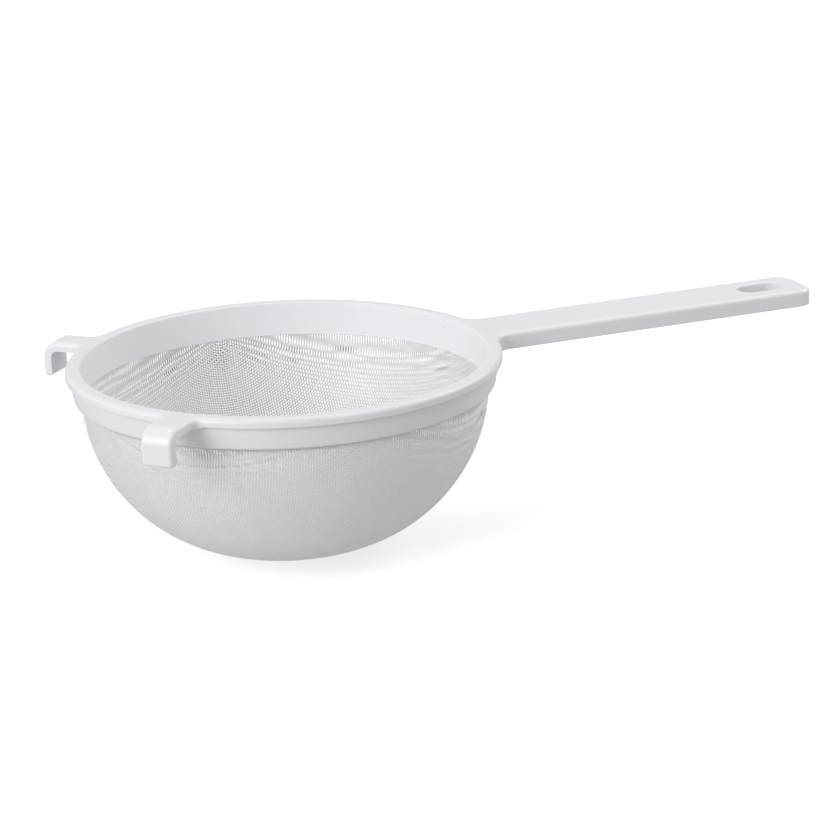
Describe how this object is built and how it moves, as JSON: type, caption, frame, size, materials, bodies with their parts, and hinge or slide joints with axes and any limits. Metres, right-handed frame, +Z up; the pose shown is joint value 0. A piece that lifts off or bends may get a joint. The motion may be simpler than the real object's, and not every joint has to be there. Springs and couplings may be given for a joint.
{
  "type": "hand sieve",
  "caption": "Round plastic hand sieve with a woven nylon bowl, a long flat handle with a hanging slot, and pot hooks on the far side of the rim.",
  "frame": {"origin": "centre of the rim's flat top face, at the middle of the bowl's mouth", "axes": "+X along the handle away from the bowl, +Z up out of the bowl's mouth, +Y to the side; the shape is the same on both sides of the X-Z plane"},
  "size_m": [0.368, 0.2, 0.0916],
  "materials": {
    "frame_plastic": "satin white moulded polypropylene",
    "band_plastic": "satin white moulded polypropylene",
    "nylon_mesh": "fine white nylon monofilament, plain weave"
  },
  "bodies": {
    "root": {"frame": "frame_plastic", "clamp_band": "band_plastic", "mesh_bowl": "nylon_mesh"}
  },
  "joints": []
}
